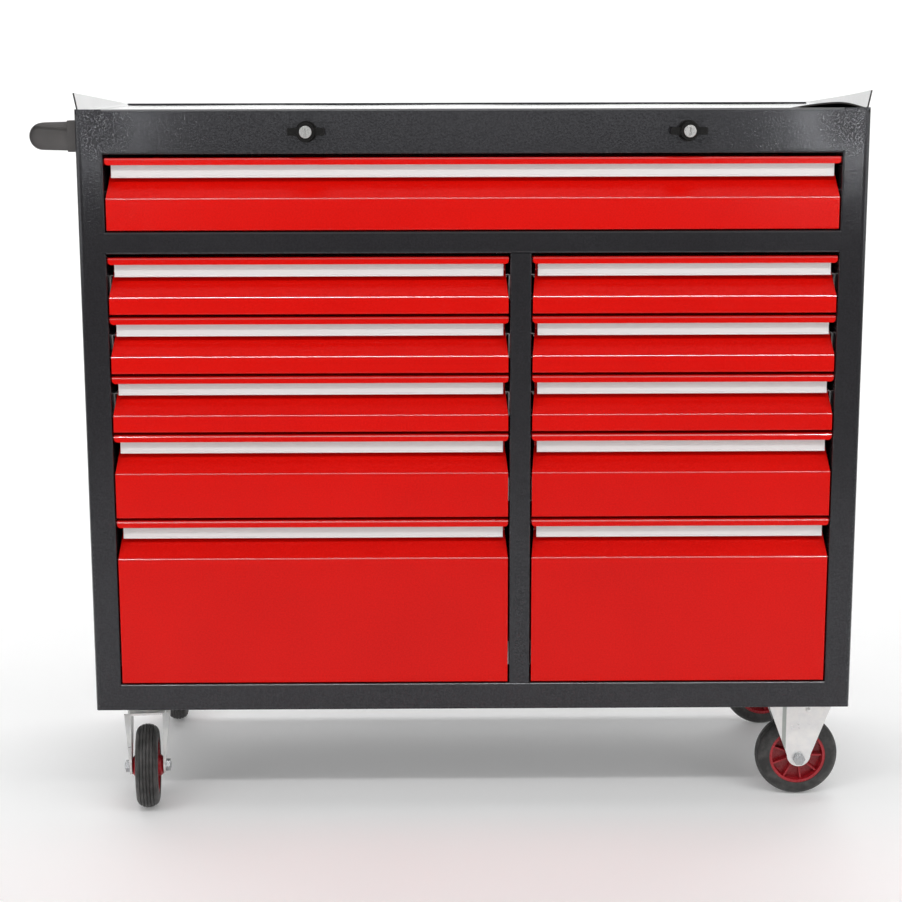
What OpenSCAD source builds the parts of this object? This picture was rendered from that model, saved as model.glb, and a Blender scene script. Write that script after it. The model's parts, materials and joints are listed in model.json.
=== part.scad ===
// Roller tool cabinet with one wide drawer over two banks of five drawers.
// Millimetres, +Z up, front towards -Y, origin on the floor under the middle of the whole cabinet.

/* [Body] */
// Width over the side panels
body_w = 1071; // [950:1:1300]
// Depth from the front face to the rear flanges
body_d = 459; // [445:1:600]
// Height of the body over the casters
body_h = 841.2; // [800:0.2:900]
// Sheet thickness of the body
sheet_t = 1.2; // [0.8:0.1:2]
// Middle radius of the small folds in the body
fold_r = 2; // [1.5:0.1:3]
// Middle radius of the front corners
corner_r = 8; // [4:0.5:12]
// Width of the front stiles
stile_w = 37; // [28:0.5:50]
// Depth of the stile returns and the rail flanges
return_d = 45; // [40:1:60]
// Width of the inward flanges at the rear
rear_flange_w = 20; // [12:1:30]
// Height of the rail under the banks
base_rail_h = 38.4; // [30:0.1:60]
// Height of the rail under the top drawer
middle_rail_h = 30; // [20:0.5:50]
// Height of the fascia that carries the locks
fascia_h = 60; // [52:0.5:90]
// Depth of the tray in the top
tray_depth = 5.5; // [4.5:0.5:12]
// Width of the rim round the tray
rim_w = 6; // [5:0.5:12]
// Width of the rear posts along the depth
post_w = 30; // [20:1:32]
// Height of the posts' feet over the base
post_foot = 12; // [9:0.5:20]

/* [Banks] */
// Clear width of the left bank
left_bank_w = 549; // [400:1:620]
// Width of the divider between the banks
divider_w = 29; // [20:0.5:45]
// Front height of the top drawer
top_front_h = 97.6; // [90:0.1:140]
// Front height of the shallow drawers
shallow_front_h = 77.8; // [74:0.1:110]
// Front height of the medium drawers
medium_front_h = 117.4; // [80:0.1:160]
// Gap between one front and the next
front_gap = 4; // [3:0.5:6]
// Gap beside a front
side_gap = 2.2; // [1.5:0.1:4]
// Gap under the lowest front of an opening
sill_gap = 1.8; // [1:0.1:4]
// Gap over the highest front of an opening
head_gap = 4.8; // [3:0.1:8]

/* [Drawers] */
// Sheet thickness of the drawers
drawer_t = 1; // [0.7:0.1:1.6]
// Middle radius of the folds in the drawers
drawer_fold_r = 2; // [1.5:0.1:3]
// Length of the drawer boxes
box_len = 400; // [380:1:405]
// Height of the box floor over the lower edge of the front
box_rise = 6; // [4:0.5:12]
// Drop from the top of the front to the box rim
box_drop = 14; // [12:0.5:16]
// Width of the flange on the box rim
box_rim_w = 6; // [4:0.5:10]
// Height of the lip at the top of the front
lip_h = 9.3; // [7:0.1:12]
// Radius of the lower corners of the lip
lip_corner_r = 4.5; // [2:0.5:6]
// Drop from the top of the front to the fold
fold_drop = 54.6; // [50:0.1:60]
// Depth of the pull recess
recess_d = 27; // [24:0.5:32]
// Drop from the top of the front to the foot of the recess wall
recess_drop = 20.5; // [18:0.5:24]
// Cut back of the slope at its upper corners
slope_cut = 4; // [2:0.5:8]

/* [Pull strips] */
// Setback of the strip behind the front
pull_set = 10; // [8:0.5:12]
// Drop from the top of the front to the lower edge of the strip
pull_drop = 27; // [24:0.5:32]
// Thickness of the strip
pull_t = 1.6; // [1.2:0.1:2.2]
// Diameter of the bead along the lower edge
pull_bead = 3; // [2.4:0.1:4]
// Distance from the end of the front to the end of the strip
pull_inset = 7; // [5:0.5:12]

/* [Slides] */
// Height of a slide
slide_h = 35; // [30:0.5:42]
// Width of a slide from the body to the drawer
slide_w = 12.7; // [12:0.1:14]
// Strip thickness of the slides
slide_t = 1.2; // [1:0.1:1.4]
// Middle radius of the folds in the slides
slide_fold_r = 1.2; // [1:0.1:1.4]
// Length of the slides
slide_len = 390; // [350:1:395]
// Running clearance between runner and channel
slide_clear = 0.3; // [0.2:0.05:0.5]
// Height of the slide's middle over the box floor
slide_rise = 28; // [22:0.5:30]
// Gap between a runner and its box
runner_gap = 0.1; // [0.05:0.05:0.2]

/* [Mat] */
// Thickness of the mat
mat_t = 3; // [2:0.5:4]
// Height of the turned-up ends over the rim at the front
mat_rise = 17; // [10:0.5:25]
// Middle radius of the turned-up ends
mat_bend_r = 6; // [4:0.5:10]
// Depth over which the ends come down to the rim
mat_fall_d = 300; // [200:5:400]
// Gap between the mat and the tray's lips
mat_gap = 1; // [0.5:0.5:3]

/* [Handle] */
// Reach of the handle from the side panel
handle_reach = 63.5; // [50:0.5:80]
// Height of the handle's middle under the body's top
handle_drop = 36; // [28:0.5:60]
// Radius of the outer end of a bracket
bracket_end_r = 18.3; // [16:0.1:22]
// Height of a bracket at its root
bracket_root_h = 39; // [38:0.5:50]
// Thickness of a bracket along the depth
bracket_t = 24; // [20:0.5:34]
// Thickness of the bracket's foot
foot_t = 12; // [8:0.5:16]
// Overhang of the foot round the bracket
foot_lip = 1.5; // [1:0.5:6]
// Bevel along the upper edges of a bracket
bracket_bevel = 5; // [2:0.5:7]
// Distance from the front to the middle of the front bracket
bracket_in = 30; // [28:1:120]
// Distance from the rear to the middle of the rear bracket
bracket_rear_in = 90; // [88:1:130]
// Diameter of the grip
grip_d = 28; // [22:0.5:32]
// Depth of the grip's seat in a bracket
grip_seat = 14; // [8:0.5:16]
// Diameter of the handle bolts
handle_bolt_d = 6; // [5:0.5:8]

/* [Locks] */
// Diameter of the knob's boss
knob_d = 24; // [22:0.5:30]
// Reach of the knob in front of the fascia
knob_reach = 18; // [14:0.5:24]
// Span over the wings
wing_span = 50; // [42:0.5:60]
// Height of a wing at its tip
wing_h = 10; // [7:0.5:14]
// Thickness of the wings along the depth
wing_t = 9; // [6:0.5:11]
// Bevel along the edges of the wings
wing_bevel = 1.5; // [0.5:0.1:2.5]
// Diameter of the key barrel
barrel_d = 16.5; // [14:0.5:18]
// Length of the key barrel
barrel_len = 12; // [8:0.5:13]
// Proud length of the key barrel
barrel_proud = 2.5; // [1:0.5:4]
// Diameter of the lock sleeve
sleeve_d = 19; // [17:0.5:22]
// Diameter of the knob's spindle
spindle_d = 14; // [10:0.5:15]
// Diameter of the rose behind the knob
rose_d = 29; // [27:0.5:34]
// Thickness of the rose
rose_t = 2.5; // [1.5:0.5:4]
// Running clearance of shafts in their bores
shaft_clear = 0.05; // [0.02:0.01:0.1]
// Length of the cam from the spindle's middle
cam_len = 22; // [16:0.5:24]

/* [Casters] */
// Height from the floor to the body
caster_h = 153.5; // [148:0.5:170]
// Wheel diameter
wheel_d = 120; // [110:1:130]
// Tread width
tread_w = 32; // [28:0.5:38]
// Height of the tread's crown
tyre_crown = 12; // [6:0.5:14]
// Number of grooves round the tread
grooves = 5; // [3:1:6]
// Width of a groove
groove_w = 1.6; // [0.8:0.1:2]
// Depth of a groove
groove_d = 1.6; // [0.5:0.1:3]
// Diameter of the hub's rim
hub_d = 81.5; // [74:0.5:88]
// Length of the hub's boss
boss_len = 44; // [38:0.5:45]
// Diameter of the hub's boss
boss_d = 30; // [24:0.5:36]
// Number of ribs on each side of a hub
hub_ribs = 9; // [6:1:12]
// Diameter of the wheel axle
axle_d = 10; // [8:0.5:12]
// Play between a hub and a fork leg
hub_play = 0.5; // [0.3:0.1:1]
// Steel thickness of the forks and plates
fork_t = 3; // [2:0.1:4]
// Width of a fixed fork at the top
fork_top_w = 98; // [80:0.5:100]
// Distance from a fixed leg's middle to its jog
jog_x = 22; // [18:0.5:30]
// Depth of the jog
jog_d = 2; // [1:0.1:3]
// Width of the jog
jog_w = 6; // [4:0.5:8]
// Radius of the lower end of a fork leg
fork_end_r = 17; // [14:0.5:20]
// Height of the end's middle over the axle
fork_end_rise = 5; // [0:0.5:8]
// Length of the caster plates along the width
plate_l = 106; // [104:1:112]
// Width of the caster plates along the depth
plate_w = 84; // [82:1:90]
// Distance between bolts along the width
bolt_l = 90; // [88:1:94]
// Distance between bolts along the depth
bolt_w = 67; // [67:1:70]
// Bolt diameter
bolt_d = 8; // [6:0.5:9]
// Distance from the side of the body to the middle of a fixed plate
fixed_in = 61; // [58:0.5:80]
// Distance from the front or rear of the body to the middle of a fixed plate
fixed_deep = 73; // [60:0.5:90]
// Distance from the side of the body to a swivel's axis
swivel_in = 63; // [60:0.5:80]
// Distance from the front or rear of the body to a swivel's axis
swivel_deep = 73; // [60:0.5:90]
// Trail of the swivel casters
trail = 40; // [30:0.5:50]
// Angle of the swivel casters to the depth
swivel_yaw = 5; // [0:0.5:15]
// Diameter of the swivel race
race_d = 64; // [56:0.5:70]
// Height of the swivel race
race_h = 14; // [8:0.5:16]
// Width of the outward flanges on the swivel fork's legs
leg_flange = 7; // [4:0.5:10]
// Running clearance in the swivel
swivel_clear = 0.4; // [0.3:0.1:0.6]
// Diameter of the king pin
king_pin_d = 14; // [12:0.5:18]

/* [Hidden] */
$fn = 64;
eps = 0.01;
// Points on each fold
fold_steps = 4;

// Openings and heights over the body's lower edge
clear_w = body_w - 2 * stile_w;
right_bank_w = clear_w - left_bank_w - divider_w;
bank_x0 = -clear_w / 2;
divider_x0 = bank_x0 + left_bank_w;
fascia_z = body_h - fascia_h;
top_open_z = fascia_z - head_gap - top_front_h - sill_gap;
middle_z = top_open_z - middle_rail_h;
tray_z = body_h - tray_depth;
upper_fronts = [shallow_front_h, shallow_front_h, shallow_front_h, medium_front_h];
rows = len(upper_fronts) + 1;
function sum(v, i = 0) = i < len(v) ? v[i] + sum(v, i + 1) : 0;
// The deep drawers take what the others leave
deep_front_h = middle_z - base_rail_h - sill_gap - head_gap - sum(upper_fronts) - (rows - 1) * front_gap;
bank_fronts = concat(upper_fronts, [deep_front_h]);
row_z = [for (i = [0:rows - 1])
    base_rail_h + sill_gap + sum([for (k = [i + 1:1:rows - 1]) bank_fronts[k] + front_gap])];
left_bank_x = bank_x0 + left_bank_w / 2;
right_bank_x = divider_x0 + divider_w + right_bank_w / 2;
// Each drawer: name, middle, opening width, front height, height of its lower edge
drawers = concat(
    [["top", 0, clear_w, top_front_h, top_open_z + sill_gap]],
    [for (i = [0:rows - 1])
        [str("left_", i + 1), left_bank_x, left_bank_w, bank_fronts[i], row_z[i]]],
    [for (i = [0:rows - 1])
        [str("right_", i + 1), right_bank_x, right_bank_w, bank_fronts[i], row_z[i]]]);

// Depths, from the front face
inner_d = body_d - 2 * sheet_t;
slide_y = recess_d + 2 * drawer_t;

// Handle
handle_z = body_h - handle_drop;
bracket_y = [bracket_in, body_d - bracket_rear_in];
bolt_grip = foot_t + handle_bolt_d;

// Locks
lock_x = [left_bank_x, right_bank_x];
lock_z = fascia_z + fascia_h / 2;
sleeve_len = 20;
knob_back = rose_t + swivel_clear;
spindle_len = knob_back + sleeve_len + swivel_clear;
nut_t = 5;
nut_d = 28;
cam_t = 2.5;
cam_w = 15;

// Hexagon heads and nuts, as parts of the thread's diameter
hex_part = 1.8;
head_part = 0.65;
// Thread showing beyond a nut
thread_end = 1;

// Casters
swivel_x = -body_w / 2 + swivel_in;
fixed_x = body_w / 2 - fixed_in;
swivel_y = [swivel_deep, body_d - swivel_deep];
fixed_y = [fixed_deep, body_d - fixed_deep];
// Middle of each plate
plates = [for (y = swivel_y) [swivel_x, y], for (y = fixed_y) [fixed_x, y]];
axle_z = wheel_d / 2;
leg_in = boss_len / 2 + hub_play;
plate_under = caster_h - fork_t;
crown_top = plate_under - race_h;
crown_lip = 3;
shoulder_steps = 5;
grooved_part = 0.72;
hub_wall = 5;
boss_bevel = 3;
rim_in = 1;
rib_t = 2.5;
rib_in = 4;
end_names = ["front", "rear"];

// The whole cabinet is moved so that its box is centred over the origin
swivel_reach = (trail + wheel_d / 2 - tyre_crown) * cos(swivel_yaw)
    + norm([tyre_crown * cos(swivel_yaw), tread_w / 2 * sin(swivel_yaw)]) - swivel_deep;
front_reach = max(swivel_reach, knob_back + knob_reach + barrel_proud);
rear_reach = max(swivel_reach, 0);
right_reach = max(body_w / 2, fixed_x + wheel_d / 2);
origin_x = (body_w / 2 + handle_reach - right_reach) / 2;
origin_y = (front_reach - rear_reach - body_d) / 2;

charcoal = [0.24, 0.24, 0.26];
red = [0.85, 0.09, 0.05];
light_metal = [0.86, 0.86, 0.85];
zinc = [0.75, 0.77, 0.78];
black = [0.1, 0.1, 0.11];
hub_red = [0.6, 0.04, 0.06];

// A folded strip: path points are [a, b, fold radius] along the middle of the sheet
function unit(v) = v / norm(v);
function left_of(v) = [-v[1], v[0]];
function flat2(p) = [p[0], p[1]];
function turned(v, a) = [v[0] * cos(a) - v[1] * sin(a), v[0] * sin(a) + v[1] * cos(a)];
function fold(p0, p1, p2) =
    let(a = unit(flat2(p1) - flat2(p0)),
        b = unit(flat2(p2) - flat2(p1)),
        turn = atan2(a[0] * b[1] - a[1] * b[0], a * b),
        side = sign(turn) * p1[2],
        start = flat2(p1) - a * p1[2] * tan(abs(turn) / 2),
        middle = start + side * left_of(a))
    [for (k = [0:fold_steps])
        let(n = turned(left_of(a), turn * k / fold_steps))
        [middle - side * n, n]];
function folded(p) =
    let(last = len(p) - 1,
        first_n = left_of(unit(flat2(p[1]) - flat2(p[0]))),
        last_n = left_of(unit(flat2(p[last]) - flat2(p[last - 1]))))
    concat([[flat2(p[0]), first_n]],
        [for (i = [1:1:last - 1]) each fold(p[i - 1], p[i], p[i + 1])],
        [[flat2(p[last]), last_n]]);
function strip(p, t) =
    let(q = folded(p), n = len(q))
    concat([for (e = q) e[0] + e[1] * t / 2], [for (i = [n - 1:-1:0]) q[i][0] - q[i][1] * t / 2]);

// Extrusions of an outline along X from a YZ outline, and along Y from an XZ outline
module along_x(x0, x1) {
    translate([x0, 0, 0]) rotate([90, 0, 90]) linear_extrude(x1 - x0) children();
}
module along_y(y0, y1) {
    translate([0, y1, 0]) rotate([90, 0, 0]) linear_extrude(y1 - y0) children();
}
module block(low, high) {
    translate(low) cube(high - low);
}
module in_place() {
    translate([origin_x, origin_y, 0]) children();
}
module in_body() {
    in_place() translate([0, 0, caster_h]) children();
}
module both_sides() {
    children();
    mirror([1, 0, 0]) children();
}

// Body panels
// Waste outside a front corner of radius r
module corner_waste(r, z0, z1) {
    c = sheet_t / 2 + corner_r;
    translate([body_w / 2 - c, c, 0]) difference() {
        block([0, -c - 1, z0], [c + 1, 0, z1]);
        translate([0, 0, z0 - 1]) cylinder(r = r, h = z1 - z0 + 2);
    }
}
module side_sheet() {
    e = sheet_t / 2;
    x0 = -body_w / 2;
    path = [
        [x0 + stile_w - e, return_d, 0],
        [x0 + stile_w - e, e, fold_r],
        [x0 + e, e, corner_r],
        [x0 + e, body_d - e, fold_r],
        [x0 + rear_flange_w, body_d - e, 0]];
    difference() {
        linear_extrude(body_h) polygon(strip(path, sheet_t));
        // Room for the base panel's floor
        block([x0 + sheet_t, -1, -1], [x0 + stile_w + 1, body_d - sheet_t, sheet_t]);
        // Room for the tray
        block([x0 + sheet_t, sheet_t, tray_z - sheet_t], [x0 + stile_w + 1, body_d - sheet_t, body_h + 1]);
    }
}
module left_side_panel() {
    color(charcoal) in_body() difference() {
        side_sheet();
        at_handle_bolts() cylinder(d = handle_bolt_d + 2 * shaft_clear, h = 4 * sheet_t, center = true);
    }
}
module right_side_panel() {
    color(charcoal) in_body() mirror([1, 0, 0]) side_sheet();
}
module back_panel() {
    // Its edges stop short of the corner folds
    x1 = body_w / 2 - sheet_t - fold_r;
    color(charcoal) in_body()
        block([-x1, inner_d, sheet_t], [x1, body_d - sheet_t, body_h]);
}
module base_panel() {
    e = sheet_t / 2;
    path = [
        [return_d, base_rail_h - e, 0],
        [e, base_rail_h - e, fold_r],
        [e, e, fold_r],
        [body_d - sheet_t - e, e, 0]];
    x1 = body_w / 2 - sheet_t;
    x_stile = clear_w / 2;
    color(charcoal) in_body() difference() {
        along_x(-x1, x1) polygon(strip(path, sheet_t));
        // The stiles stand on the floor's corners
        both_sides() {
            block([x_stile, -1, sheet_t], [x1 + 1, return_d + 1, base_rail_h + 1]);
            corner_waste(corner_r + e, -1, base_rail_h);
        }
        for (p = plates) translate([p[0], p[1], -1]) bolt_holes(sheet_t + 2);
    }
}
module top_tray() {
    e = sheet_t / 2;
    y_rear = inner_d - e;
    path = [
        [return_d, fascia_z + e, 0],
        [e, fascia_z + e, fold_r],
        [e, body_h - e, fold_r],
        [rim_w - e, body_h - e, fold_r - e],
        [rim_w - e, tray_z - e, fold_r - e],
        [y_rear - rim_w + sheet_t, tray_z - e, fold_r - e],
        [y_rear - rim_w + sheet_t, body_h - e, fold_r - e],
        [y_rear, body_h - e, fold_r],
        [y_rear, tray_z - 4 * fold_r, 0]];
    x1 = body_w / 2 - sheet_t;
    x_stile = clear_w / 2;
    color(charcoal) in_body() difference() {
        union() {
            along_x(-x1, x1) polygon(strip(path, sheet_t));
            both_sides() block([x1 - sheet_t, rim_w, tray_z - sheet_t], [x1, y_rear - rim_w, body_h]);
        }
        // The stiles and their returns pass the fascia's ends
        both_sides() {
            block([x_stile, -1, fascia_z - 1], [x1 + 1, return_d + 1, tray_z - sheet_t]);
            block([x_stile, -1, fascia_z - 1], [x1 + 1, sheet_t, body_h + 1]);
            corner_waste(corner_r - e, tray_z - 2 * sheet_t, body_h + 1);
        }
        for (x = lock_x) translate([x, 0, lock_z]) rotate([90, 0, 0])
            cylinder(d = sleeve_d, h = 4 * sheet_t, center = true);
    }
}
module middle_rail() {
    e = sheet_t / 2;
    path = [
        [return_d, middle_z + e, 0],
        [e, middle_z + e, fold_r],
        [e, top_open_z - e, fold_r],
        [return_d, top_open_z - e, 0]];
    color(charcoal) in_body() along_x(-clear_w / 2, clear_w / 2) polygon(strip(path, sheet_t));
}
module centre_divider() {
    e = sheet_t / 2;
    x1 = divider_x0 + divider_w;
    path = [
        [divider_x0 + e, inner_d, 0],
        [divider_x0 + e, e, fold_r],
        [x1 - e, e, fold_r],
        [x1 - e, inner_d, 0]];
    color(charcoal) in_body() difference() {
        translate([0, 0, sheet_t]) linear_extrude(middle_z - sheet_t) polygon(strip(path, sheet_t));
        // The base rail passes in front of the divider's foot
        block([divider_x0 - 1, -1, 0], [x1 + 1, return_d + eps, base_rail_h]);
    }
}
module rear_posts() {
    e = sheet_t / 2;
    x0 = -body_w / 2 + sheet_t;
    x1 = -clear_w / 2;
    y1 = slide_y + slide_len;
    path = [
        [x0, y1 - post_w + e, 0],
        [x1 - e, y1 - post_w + e, fold_r],
        [x1 - e, y1 - e, fold_r],
        [x0, y1 - e, 0]];
    color(charcoal) in_body() both_sides()
        translate([0, 0, post_foot]) linear_extrude(tray_z - sheet_t - post_foot)
            polygon(strip(path, sheet_t));
}

// Loose mat in the tray, with its ends turned up against the side lips
module top_mat() {
    e = mat_t / 2;
    x1 = body_w / 2 - 2 * sheet_t - mat_gap - e;
    z0 = tray_z + e;
    top = body_h + mat_rise;
    path = [
        [-x1, top, 0],
        [-x1, z0, mat_bend_r],
        [x1, z0, mat_bend_r],
        [x1, top, 0]];
    y0 = rim_w + mat_gap;
    y1 = inner_d - rim_w - mat_gap;
    color(black) in_body() difference() {
        along_y(y0, y1) polygon(strip(path, mat_t));
        // The ends come down to the rim towards the rear
        along_x(-body_w, body_w) polygon([
            [y0 - 1, top + 1],
            [y0 - 1, top],
            [y0, top],
            [y0 + mat_fall_d, body_h],
            [y1 + 1, body_h],
            [y1 + 1, top + 1]]);
    }
}

// Slides: u runs from the body's wall to the drawer's wall, v is up
channel_part = 0.74;
ball_room = 1.3;
channel_lip_u = slide_w * channel_part;
channel_v = slide_h / 2 - slide_t / 2;
runner_v = channel_v - 2 * slide_t - ball_room;
module channel_section() {
    e = slide_t / 2;
    lip_v = runner_v + slide_t + slide_clear;
    polygon(strip([
        [channel_lip_u, lip_v, 0],
        [channel_lip_u, channel_v, slide_fold_r],
        [e, channel_v, slide_fold_r],
        [e, -channel_v, slide_fold_r],
        [channel_lip_u, -channel_v, slide_fold_r],
        [channel_lip_u, -lip_v, 0]], slide_t));
}
module runner_section() {
    e = slide_t / 2;
    u0 = channel_lip_u - 4 * slide_t;
    u1 = slide_w - runner_gap - e;
    tip = channel_v - e - slide_clear;
    polygon(strip([
        [u0, tip, 0],
        [u0, runner_v, slide_fold_r],
        [u1, runner_v, slide_fold_r],
        [u1, -runner_v, slide_fold_r],
        [u0, -runner_v, slide_fold_r],
        [u0, -tip, 0]], slide_t));
}
module slide_pair(open_w) {
    both_sides() translate([-open_w / 2, 0, box_rise + slide_rise])
        along_y(slide_y, slide_y + slide_len) children();
}
module slide_channels() {
    color(zinc) in_body() for (d = drawers)
        translate([d[1], 0, d[4]]) slide_pair(d[2]) channel_section();
}

// Drawers: folded front with a pull recess, box and runners
module front_sheet(front_w, h) {
    e = drawer_t / 2;
    r = drawer_fold_r;
    path = [
        [recess_d + drawer_t, e, 0],
        [e, e, r],
        [e, h - fold_drop, r],
        [recess_d + e, h - recess_drop, r],
        [recess_d + e, h - e, r],
        [e, h - e, r],
        [e, h - lip_h, 0]];
    x1 = front_w / 2;
    difference() {
        union() {
            along_x(-x1, x1) polygon(strip(path, drawer_t));
            // Returns at the ends of the flat face
            both_sides() block([x1 - drawer_t, e, e], [x1, recess_d, h - fold_drop - r]);
        }
        both_sides() {
            // Slope cut back at its ends
            along_y(-1, recess_d + 2 * drawer_t) polygon([
                [x1 + 1, h - fold_drop],
                [x1, h - fold_drop],
                [x1 - slope_cut, h - recess_drop],
                [x1 - slope_cut, h - lip_h - 1],
                [x1 + 1, h - lip_h - 1]]);
            // Round lower corners of the lip
            translate([x1 - lip_corner_r, 0, h - lip_h + lip_corner_r]) difference() {
                block([0, -1, -lip_corner_r - 1], [lip_corner_r + 1, recess_d - 1, 0]);
                rotate([90, 0, 0]) cylinder(r = lip_corner_r, h = 4 * recess_d, center = true);
            }
        }
    }
}
module drawer_box(box_w, h) {
    e = drawer_t / 2;
    r = drawer_fold_r;
    x1 = box_w / 2;
    rim_z = h - box_drop;
    y1 = recess_d + box_len;
    path = [
        [-x1 + box_rim_w, rim_z - e, 0],
        [-x1 + e, rim_z - e, r],
        [-x1 + e, box_rise + e, r],
        [x1 - e, box_rise + e, r],
        [x1 - e, rim_z - e, r],
        [x1 - box_rim_w, rim_z - e, 0]];
    along_y(recess_d, y1) polygon(strip(path, drawer_t));
    for (y = [recess_d, y1 - drawer_t])
        block([-x1 + e, y, box_rise + e], [x1 - e, y + drawer_t, rim_z - e]);
    // Inner wall of the front
    block([-x1 + e, recess_d, e], [x1 - e, recess_d + drawer_t, h - recess_drop]);
}
module drawer(d) {
    in_body() translate([d[1], 0, d[4]]) {
        color(red) {
            front_sheet(d[2] - 2 * side_gap, d[3]);
            drawer_box(d[2] - 2 * slide_w, d[3]);
        }
        color(zinc) slide_pair(d[2]) runner_section();
    }
}

// Pull strip: a flange under the top of the recess and a face with a bead along its lower edge
module pull(d) {
    h = d[3];
    x1 = d[2] / 2 - side_gap - pull_inset;
    e = pull_t / 2;
    bead_r = pull_bead / 2;
    face_y = pull_set + e;
    path = [
        [recess_d - drawer_fold_r, h - drawer_t - e, 0],
        [face_y, h - drawer_t - e, drawer_fold_r],
        [face_y, h - pull_drop + bead_r / 2, 0]];
    color(light_metal) in_body() translate([d[1], 0, d[4]]) union() {
        along_x(-x1, x1) polygon(strip(path, pull_t));
        translate([-x1, pull_set + e / 2, h - pull_drop + bead_r]) rotate([0, 90, 0])
            cylinder(r = bead_r, h = 2 * x1);
    }
}

// Side handle
module bracket_outline(grow) {
    out = handle_reach - bracket_end_r;
    end_r = bracket_end_r + grow;
    root = bracket_root_h / 2 + grow;
    lean = asin((root - end_r) / out);
    translate([-out, 0]) circle(r = end_r);
    polygon([
        [0, root],
        [-out + end_r * sin(lean), end_r * cos(lean)],
        [-out + end_r * sin(lean), -end_r * cos(lean)],
        [0, -root]]);
}
module bracket(inward) {
    h = bracket_root_h + 2 * foot_lip;
    difference() {
        union() {
            along_y(-bracket_t / 2, bracket_t / 2) bracket_outline(0);
            block([-foot_t, -bracket_t / 2 - foot_lip, -h / 2], [0, bracket_t / 2 + foot_lip, h / 2]);
        }
        // Bevel along the upper edges
        for (s = [-1, 1])
            translate([-handle_reach - 1, s * bracket_t / 2, bracket_root_h / 2]) rotate([45, 0, 0])
                translate([0, -bracket_bevel / 2, -bracket_bevel / 2 - 1])
                    cube([handle_reach - foot_t + 1, bracket_bevel, bracket_bevel + 2]);
        // Seat of the grip
        translate([-handle_reach + bracket_end_r, inward * bracket_t / 2, 0]) rotate([90, 0, 0])
            cylinder(d = grip_d + 2 * shaft_clear, h = 2 * grip_seat, center = true);
        // Bolt holes
        for (s = [-1, 1]) translate([1, 0, s * bracket_root_h / 4]) rotate([0, -90, 0])
            cylinder(d = handle_bolt_d + 2 * shaft_clear, h = bolt_grip + 2);
    }
}
module handle_brackets() {
    color(black) in_body() for (i = [0, 1])
        translate([-body_w / 2, bracket_y[i], handle_z]) bracket(i == 0 ? 1 : -1);
}
module handle_grip() {
    half = bracket_t / 2 - grip_seat;
    y0 = bracket_y[0] + half + shaft_clear;
    y1 = bracket_y[1] - half - shaft_clear;
    color(black) in_body()
        translate([-body_w / 2 - handle_reach + bracket_end_r, y0, handle_z]) rotate([-90, 0, 0])
            cylinder(d = grip_d, h = y1 - y0);
}
module at_handle_bolts() {
    for (y = bracket_y) for (s = [-1, 1])
        translate([-body_w / 2, y, handle_z + s * bracket_root_h / 4]) rotate([0, 90, 0]) children();
}
module handle_bolts() {
    color(zinc) in_body() at_handle_bolts() {
        translate([0, 0, sheet_t]) cylinder(d = hex_part * handle_bolt_d, h = head_part * handle_bolt_d, $fn = 6);
        translate([0, 0, -bolt_grip]) cylinder(d = handle_bolt_d, h = bolt_grip + sheet_t + eps);
    }
}

// Locks: y runs into the cabinet
// Outline of a block with bevelled corners
function bevelled(w, h, c) = [
    [-w / 2, -h / 2 + c], [-w / 2 + c, -h / 2], [w / 2 - c, -h / 2], [w / 2, -h / 2 + c],
    [w / 2, h / 2 - c], [w / 2 - c, h / 2], [-w / 2 + c, h / 2], [-w / 2, h / 2 - c]];
module at_lock(i) {
    in_body() translate([lock_x[i], 0, lock_z]) rotate([-90, 0, 0]) children();
}
module lock_sleeves() {
    color(black) for (i = [0, 1]) at_lock(i) difference() {
        union() {
            translate([0, 0, -rose_t]) cylinder(d = rose_d, h = rose_t);
            translate([0, 0, -rose_t]) cylinder(d = sleeve_d - 2 * shaft_clear, h = rose_t + sleeve_len);
        }
        translate([0, 0, -rose_t - 1])
            cylinder(d = spindle_d + 2 * shaft_clear, h = rose_t + sleeve_len + 2);
    }
}
module lock_nuts() {
    color(zinc) for (i = [0, 1]) at_lock(i) translate([0, 0, sheet_t]) difference() {
        cylinder(d = nut_d, h = nut_t, $fn = 6);
        translate([0, 0, -1]) cylinder(d = sleeve_d, h = nut_t + 2);
    }
}
module lock_knob(i) {
    front = knob_back + knob_reach;
    color(black) at_lock(i) difference() {
        union() {
            translate([0, 0, -front]) cylinder(d = knob_d, h = knob_reach);
            translate([0, 0, -knob_back - eps]) cylinder(d = spindle_d, h = spindle_len + eps);
            // Wings with bevelled edges
            translate([0, 0, -front + (knob_reach - wing_t) / 2]) intersection() {
                linear_extrude(wing_t) polygon(bevelled(wing_span, wing_h, wing_bevel));
                translate([0, wing_h / 2, wing_t / 2]) rotate([90, 0, 0]) linear_extrude(wing_h)
                    polygon(bevelled(wing_span, wing_t, wing_bevel));
            }
        }
        // Seat of the key barrel
        translate([0, 0, -front - 1])
            cylinder(d = barrel_d + 2 * shaft_clear, h = barrel_len - barrel_proud + 1 + shaft_clear);
    }
}
module lock_cam(i) {
    color(zinc) at_lock(i) translate([0, 0, spindle_len - knob_back + shaft_clear]) linear_extrude(cam_t)
        union() {
            circle(d = cam_w);
            translate([0, -cam_w / 2]) square([cam_len - cam_w / 2, cam_w]);
            translate([cam_len - cam_w / 2, 0]) circle(d = cam_w);
        }
}
module key_barrel(i) {
    front = knob_back + knob_reach + barrel_proud;
    slot_w = 2;
    slot_h = barrel_d * 0.55;
    color(light_metal) at_lock(i) difference() {
        translate([0, 0, -front]) cylinder(d = barrel_d, h = barrel_len);
        translate([-slot_w / 2, -slot_h / 2, -front - 1]) cube([slot_w, slot_h, 4]);
    }
}

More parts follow.
